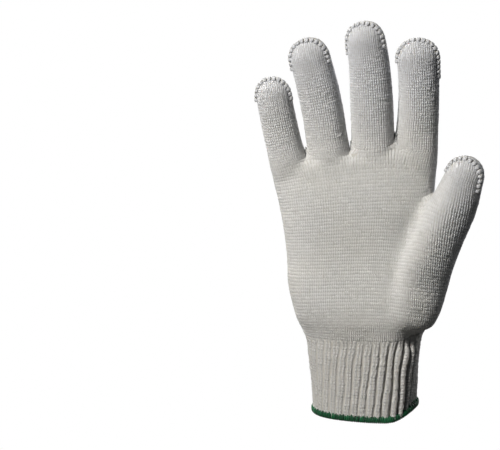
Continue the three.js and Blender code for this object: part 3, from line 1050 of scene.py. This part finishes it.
def setFinish(shader, finish):
    shader.inputs["Roughness"].default_value = finish["roughness"]
    shader.inputs["Sheen Weight"].default_value = finish["sheen"]
    shader.inputs["Sheen Roughness"].default_value = 0.5
    shader.inputs["Specular IOR Level"].default_value = finish["specular"]
    shader.subsurface_method = "BURLEY"
    shader.inputs["Subsurface Weight"].default_value = finish["scatter"]
    shader.inputs["Subsurface Radius"].default_value = (1.0, 0.95, 0.85)
    shader.inputs["Subsurface Scale"].default_value = finish["scatterDepth"] * mm


# Unbleached cotton yarn, ring spun and knitted: dull and faintly hairy. Low in each stitch, where it tucks
# under, the colour turns darker and warmer: painted shade in the crevices. It turns cooler in patches at
# random, and towards the fingertips and the thumb side as a painted cool tint of the light.
cottonYarn = {
    "crest": "#c6c5c1", "cool": "#c1c3c8", "creviceShade": "#aaa69e",
    "roughness": 0.9, "sheen": 0.12, "specular": 0.2,
    "patch": 38, "toneSpread": 0.025, "fibre": 0.3,
    "paintedCoolAbove": (0.15, 0.2), "paintedCoolBeside": (0.034, 0.056), "paintedCoolMost": 0.6,   # metres up and thumbward over which the painted cool tint of the light grows
    "creviceShadeTo": (0.05, 0.75),                # shares of a stitch's height that the painted crevice shade ends over
    "scatter": 0.7, "scatterDepth": 0.45,     # light spreads through loose cotton and softens each stitch
}
# The rib yarn is painted darker than the knit's: painted shade of the deep ribs, which fades to the knit's
# colour over the top of the cuff (fade, metres up).
shadedRibYarn = dict(cottonYarn, crest="#b4b4b2", cool="#b1b2b5", creviceShade="#958f85", fade=(0.038, 0.058))
seamYarn = dict(cottonYarn, crest="#c6c6c6", cool="#bfc2c8", creviceShade="#b6b5b2")
# The cloth wall under the stitches is painted darker than the crests: painted shade between the stitches.
shadedWallYarn = dict(cottonYarn, crest="#b7b5b0", cool="#b3b2af", sheen=0.0)


# From 0 at the first value to most at the second.
def spanNode(tree, value, low, high, most=1.0):
    settings = {"From Min": low, "From Max": high, "To Max": most}
    return addNode(tree, "MapRange", settings, Value=value).outputs[0]


# Each colour is a list of numbers or another node's output.
def mixColours(tree, share, first, second):
    node = addNode(tree, "Mix", {"data_type": "RGBA"}, Factor=share)
    for place, colour in ((6, first), (7, second)):
        if isinstance(colour, bpy.types.NodeSocket):
            tree.links.new(colour, node.inputs[place])
        else:
            node.inputs[place].default_value = colour
    return node.outputs[2]


# The fine relief of spun fibres.
def addFibres(tree, shader, places, scale, detail, strength):
    noise = addNode(tree, "TexNoise", {"Scale": scale, "Detail": detail}, Vector=places)
    bump = addNode(tree, "Bump", {"Strength": strength, "Distance": 0.0002}, Height=noise.outputs[0])
    tree.links.new(bump.outputs[0], shader.inputs["Normal"])


def yarnMaterial(name, finish, hasShares=True):
    material, tree, shader = newMaterial(name)
    setFinish(shader, finish)
    places = addNode(tree, "TexCoord").outputs["Object"]
    patch = addNode(tree, "TexNoise", {"Scale": 1000 / finish["patch"], "Detail": 2.0}, Vector=places)
    apart = addNode(tree, "SeparateXYZ", Vector=places).outputs
    # Cooler in patches at random, and towards the fingertips and the thumb side: a painted cool tint of the
    # light.
    high = spanNode(tree, apart["Z"], *finish["paintedCoolAbove"], finish["paintedCoolMost"])
    thumbward = spanNode(tree, apart["X"], *finish["paintedCoolBeside"], finish["paintedCoolMost"])
    further = addNode(tree, "Math", {"operation": "MAXIMUM"}, i0=high, i1=thumbward)
    coolness = addNode(tree, "Math", {"operation": "MULTIPLY_ADD", "1": 0.7, "use_clamp": True},
                       i0=patch.outputs[0], i2=further.outputs[0])
    colour = mixColours(tree, coolness.outputs[0], linear(finish["crest"]), linear(finish["cool"]))
    # A darker painted-shade colour fades to the knit's crest colour higher up.
    if "fade" in finish:
        top = spanNode(tree, apart["Z"], *finish["fade"])
        colour = mixColours(tree, top, colour, linear(cottonYarn["crest"]))
    if hasShares:
        lift = addNode(tree, "Attribute", {"attribute_name": "lift"}).outputs["Fac"]
        tone = addNode(tree, "Attribute", {"attribute_name": "tone"}).outputs["Fac"]
        # Low in each stitch, by its lift, the crevice colour is mixed in: painted shade between the
        # stitches.
        rise = spanNode(tree, lift, *finish["creviceShadeTo"])
        creviceShaded = mixColours(tree, rise, linear(finish["creviceShade"]), colour)
        value = addNode(tree, "Math", {"operation": "MULTIPLY_ADD", "1": finish["toneSpread"], "2": 1.0},
                        i0=tone)
        varied = addNode(tree, "HueSaturation", Color=creviceShaded, Value=value.outputs[0])
        colour = varied.outputs[0]
    tree.links.new(colour, shader.inputs["Base Color"])
    addFibres(tree, shader, places, 1000 / finish["fibre"], 3.0, 0.3)
    return material


# Spun polyester overlock thread: deep green with a soft gleam.
overlockThread = {
    "light": "#086a3e", "dark": "#033520", "tones": (-2, 2.5), "fibre": 0.4,
    "roughness": 0.6, "sheen": 0.15, "specular": 0.35, "scatter": 0.0, "scatterDepth": 0.5,
}


def threadMaterial(name, finish):
    material, tree, shader = newMaterial(name)
    setFinish(shader, finish)
    tone = addNode(tree, "Attribute", {"attribute_name": "tone"}).outputs["Fac"]
    share = spanNode(tree, tone, *finish["tones"])
    colour = mixColours(tree, share, linear(finish["dark"]), linear(finish["light"]))
    tree.links.new(colour, shader.inputs["Base Color"])
    places = addNode(tree, "TexCoord").outputs["Object"]
    addFibres(tree, shader, places, 1000 / finish["fibre"], 2.0, 0.4)
    return material


cottonMaterial = yarnMaterial("ringSpunCottonKnit", cottonYarn)
ribMaterial = yarnMaterial("ringSpunCottonRib", shadedRibYarn)
seamMaterial = yarnMaterial("cottonWhipStitch", seamYarn)
wallMaterial = yarnMaterial("cottonClothShade", shadedWallYarn, False)
greenMaterial = threadMaterial("spunPolyesterOverlock", overlockThread)
print("materials:", len(bpy.data.materials))


def finishPiece(piece, material, slot, *nodes):
    piece.data.materials.clear()
    piece.data.materials.append(material)
    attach(piece, "root")
    if nodes:
        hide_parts(*nodes)


nodeOf = {
    "littleKnit": "finger_little", "ringKnit": "finger_ring", "middleKnit": "finger_middle",
    "indexKnit": "finger_index", "thumbKnit": "thumb", "palmFrontCourses": "palm",
}
for name, piece in knitPieces.items():
    finishPiece(piece, cottonMaterial, "cotton_knit", *([nodeOf[name]] if name in nodeOf else []))
finishPiece(innerCloth, wallMaterial, "cotton_knit")
finishPiece(cuffWall, wallMaterial, "cotton_rib", "ribbed_cuff")
finishPiece(cuffCrests, ribMaterial, "cotton_rib")
finishPiece(cuffValleys, ribMaterial, "cotton_rib")
finishPiece(hemCore, greenMaterial, "green_edging", "hem_edging")
finishPiece(hemThread, greenMaterial, "green_edging")
for finger, piece in seamPieces.items():
    finishPiece(piece, seamMaterial, "cotton_seam", "tip_seam_" + finger)
bpy.data.objects.remove(form)


# Pale floor that curves up into the backdrop; it is plain white to the eye and gives little light back.
stage = {"floorHeight": -30, "front": -1600, "back": 1600, "halfWidth": 2400, "curve": 400, "rise": 2000}


def buildStage():
    profile = [(stage["front"], stage["floorHeight"])]
    start = stage["back"] - stage["curve"]
    for angle in np.linspace(0, math.pi / 2, 13):
        y = start + stage["curve"] * math.sin(angle)
        profile.append((y, stage["floorHeight"] + stage["curve"] * (1 - math.cos(angle))))
    profile.append((stage["back"], stage["rise"]))
    points = [(side * stage["halfWidth"], y, z) for y, z in profile for side in (-1, 1)]
    faces = [(2 * i, 2 * i + 1, 2 * i + 3, 2 * i + 2) for i in range(len(profile) - 1)]
    floor = meshPiece("studioFloor", points, faces)
    material, tree, shader = newMaterial("whitePaperSweep")
    shader.inputs["Base Color"].default_value = linear("#4a4a4a")
    shader.inputs["Roughness"].default_value = 1.0
    shader.inputs["Specular IOR Level"].default_value = 0.0
    path = addNode(tree, "LightPath")
    glow = addNode(tree, "Emission", {"Color": (1, 1, 1, 1), "Strength": 1.0})
    mix = addNode(tree, "MixShader", None, i0=path.outputs["Is Camera Ray"],
                  i1=shader.outputs[0], i2=glow.outputs[0])
    output = [n for n in tree.nodes if n.type == "OUTPUT_MATERIAL"][0]
    tree.links.new(mix.outputs[0], output.inputs["Surface"])
    floor.data.materials.append(material)


buildStage()
print("stage done")

# Where the light comes from: a broad soft key at the front left, a little cool light from the left and
# less from the right, and two lamps behind that leave the front's dark right flanks alone.
lights = {
    "key": {"place": (-770, -820, 960), "size": 380, "power": 26, "colour": "#fffbf4"},
    "left": {"place": (-900, -100, 500), "size": 500, "power": 0.4, "colour": "#d6e2ff"},
    "right": {"place": (900, -300, 250), "size": 600, "power": 0.15, "colour": "#ffffff"},
    "backLeft": {"place": (-600, 1000, 700), "size": 500, "power": 16, "colour": "#fffaf2"},
    "backRight": {"place": (800, 900, 400), "size": 500, "power": 7, "colour": "#ffffff"},
}
lightAim = (0, 0, 120)


def addLight(name, light):
    data = bpy.data.lights.new(name, "AREA")
    data.size = light["size"] * mm
    data.energy = light["power"]
    data.color = linear(light["colour"])[:3]
    lamp = bpy.data.objects.new(name, data)
    bpy.context.scene.collection.objects.link(lamp)
    lamp.location = Vector(light["place"]) * mm
    away = Vector(light["place"]) - Vector(lightAim)
    lamp.rotation_euler = away.to_track_quat("Z", "Y").to_euler()


for name, light in lights.items():
    addLight(name + "Light", light)

world = bpy.data.worlds.new("studioWorld")
bpy.context.scene.world = world
world.use_nodes = True
tree = world.node_tree
tree.nodes.clear()
path = addNode(tree, "LightPath")
seen = addNode(tree, "Background", {"Color": (1, 1, 1, 1), "Strength": 1.0})
given = addNode(tree, "Background", {"Color": (0.8, 0.9, 1, 1), "Strength": 0.03})
mix = addNode(tree, "MixShader", None, i0=path.outputs["Is Camera Ray"],
              i1=given.outputs[0], i2=seen.outputs[0])
addNode(tree, "OutputWorld", Surface=mix.outputs[0])
bpy.context.scene.view_settings.view_transform = "Standard"

# The camera stands before the palm, a little above it, turned so that the glove is at the right.
camera = {"place": (0, -891.24, 243.26), "focal": 106.75, "angles": (81.737, 0.614, 4.373)}
cameraData = bpy.data.cameras.new("photoCamera")
cameraData.lens = camera["focal"]
cameraData.sensor_width = 36
cameraPiece = bpy.data.objects.new("photoCamera", cameraData)
bpy.context.scene.collection.objects.link(cameraPiece)
cameraPiece.location = Vector(camera["place"]) * mm
cameraPiece.rotation_euler = [math.radians(angle) for angle in camera["angles"]]
bpy.context.scene.camera = cameraPiece
